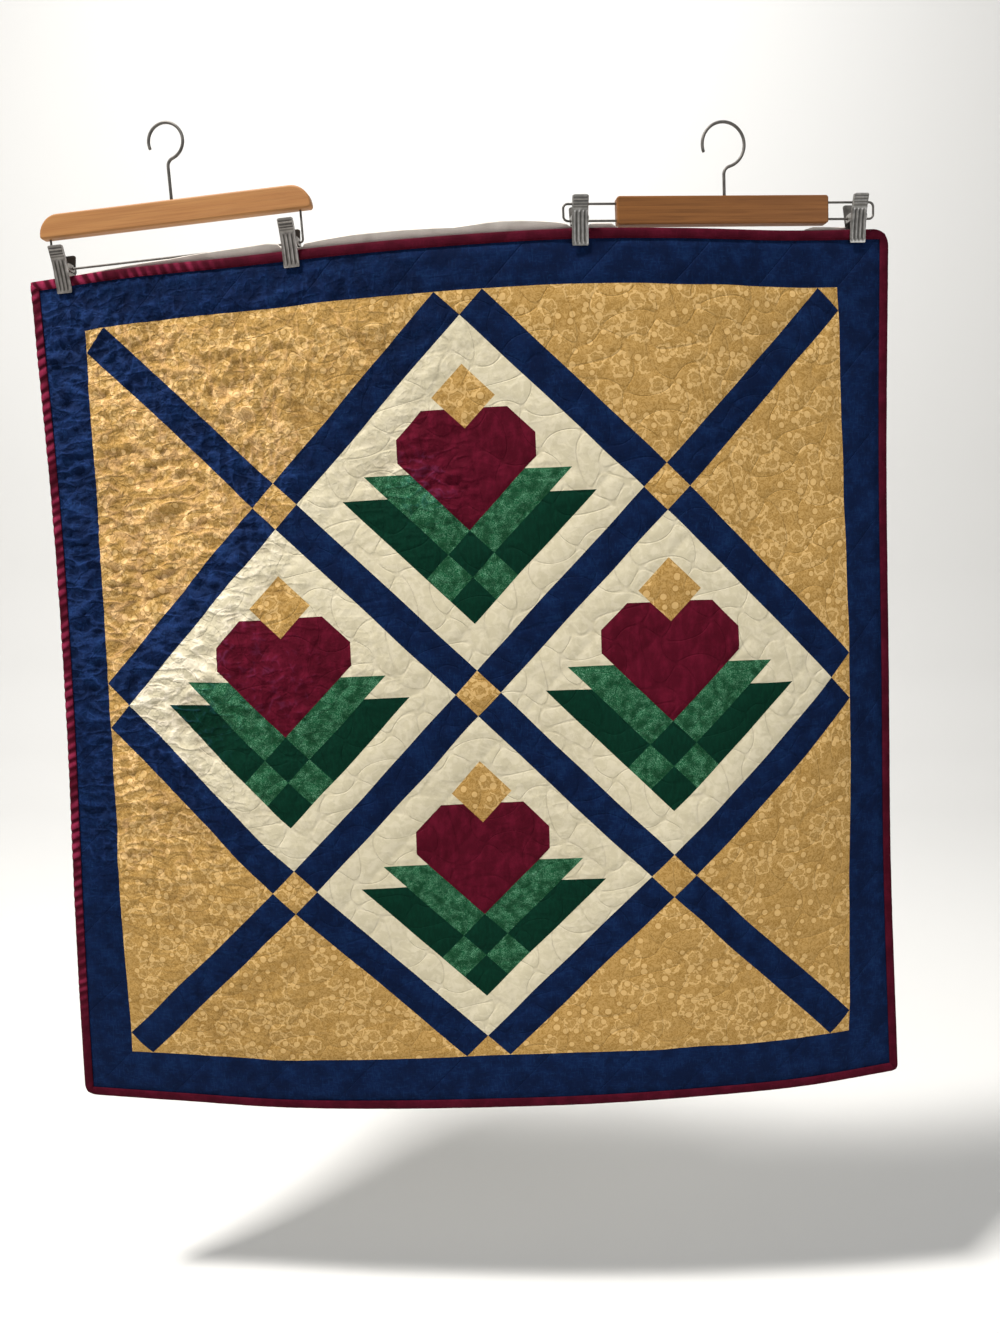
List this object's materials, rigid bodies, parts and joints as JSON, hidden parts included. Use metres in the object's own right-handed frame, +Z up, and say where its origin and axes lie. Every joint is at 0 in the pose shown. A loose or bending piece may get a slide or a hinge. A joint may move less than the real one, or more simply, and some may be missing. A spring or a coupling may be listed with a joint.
{
  "type": "wall quilt on clip hangers",
  "caption": "Square pieced wall quilt with heart flower blocks, dark sashing and turned binding, hanging from wooden clip hangers.",
  "frame": {"origin": "midway between the two hooks, at the height where they bear on the rail that holds them", "axes": "+Z up, -Y out of the quilt's face, +X to the viewer's right"},
  "size_m": [1.0314, 0.0829, 1.1562],
  "materials": {
    "quilt_cotton": "pieced and quilted cotton: navy, gold print, cream, crimson and green",
    "binding_cotton": "plain crimson cotton, doubled",
    "sleeve_muslin": "off-white muslin",
    "light_wood": "satin varnish",
    "dark_wood": "satin varnish",
    "nickel_steel": "nickel plate"
  },
  "bodies": {
    "root": {"quilt": "quilt_cotton", "binding": "binding_cotton", "hanging_sleeve": "sleeve_muslin", "left_hanger_bar": "light_wood", "left_hanger_hook": "nickel_steel", "left_hanger_rail": "nickel_steel", "right_hanger_bar": "dark_wood", "right_hanger_hook": "nickel_steel", "right_hanger_left_loop": "nickel_steel", "right_hanger_right_loop": "nickel_steel", "clip_1_front": "nickel_steel", "clip_1_back": "nickel_steel", "clip_1_spring": "nickel_steel", "clip_2_front": "nickel_steel", "clip_2_back": "nickel_steel", "clip_2_spring": "nickel_steel", "clip_3_front": "nickel_steel", "clip_3_back": "nickel_steel", "clip_3_spring": "nickel_steel", "clip_4_front": "nickel_steel", "clip_4_back": "nickel_steel", "clip_4_spring": "nickel_steel"}
  },
  "joints": []
}
